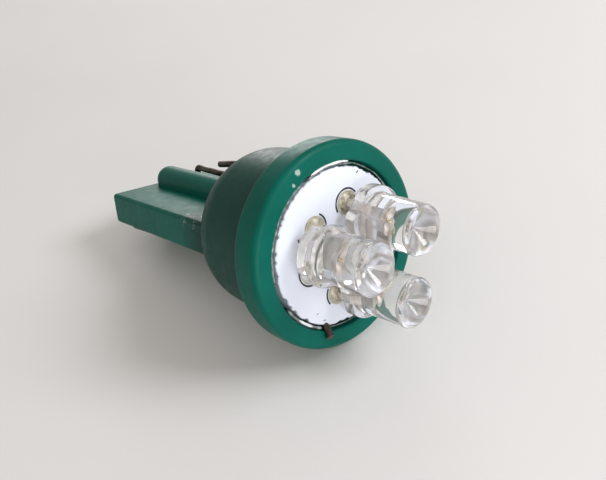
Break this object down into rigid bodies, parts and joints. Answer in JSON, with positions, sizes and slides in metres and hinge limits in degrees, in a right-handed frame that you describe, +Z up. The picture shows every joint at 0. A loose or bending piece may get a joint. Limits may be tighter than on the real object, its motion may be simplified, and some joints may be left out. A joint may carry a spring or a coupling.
{
  "type": "wedge led bulb",
  "caption": "Wedge-base signal bulb with clear round lamps on a disc board, a domed moulded housing and folded contact wires on its blade.",
  "frame": {"origin": "middle of the bulb's box, on the surface that it lies on", "axes": "+X along the bulb towards the light end, which is raised; +Z up; the camera side of the pictured pose is -Y"},
  "size_m": [0.0268, 0.0128, 0.0128],
  "materials": {
    "housing_plastic": "satin green moulding",
    "board_white": "white solder mask on laminate",
    "pad_tin": "tinned copper",
    "solder": "dull solder",
    "lead_metal": "tinned steel",
    "lens_epoxy": "water-clear cast epoxy",
    "chip": "semiconductor chip",
    "bond_wire": "gold wire",
    "resistor_coating": "dipped coating",
    "contact_wire": "tarnished tinned wire",
    "diode_glass": "amber sealed glass",
    "diode_plug": "copper-clad plug",
    "adhesive": "cured clear bead"
  },
  "bodies": {
    "root": {"adhesive_beads": "adhesive", "back_pads": "pad_tin", "circuit_board": "board_white", "diode_board_lead": "lead_metal", "diode_chip": "chip", "diode_contact_wire": "contact_wire", "diode_glass": "diode_glass", "diode_lower_plug": "diode_plug", "diode_upper_plug": "diode_plug", "edge_solder": "solder", "front_pads": "pad_tin", "housing": "housing_plastic", "lamp_1_anode": "lead_metal", "lamp_1_bond_wire": "bond_wire", "lamp_1_cathode": "lead_metal", "lamp_1_die": "chip", "lamp_1_lens": "lens_epoxy", "lamp_2_anode": "lead_metal", "lamp_2_bond_wire": "bond_wire", "lamp_2_cathode": "lead_metal", "lamp_2_die": "chip", "lamp_2_lens": "lens_epoxy", "lamp_3_anode": "lead_metal", "lamp_3_bond_wire": "bond_wire", "lamp_3_cathode": "lead_metal", "lamp_3_die": "chip", "lamp_3_lens": "lens_epoxy", "lead_solder": "solder", "resistor_board_lead": "lead_metal", "resistor_body": "resistor_coating", "resistor_contact_wire": "contact_wire"}
  },
  "joints": []
}
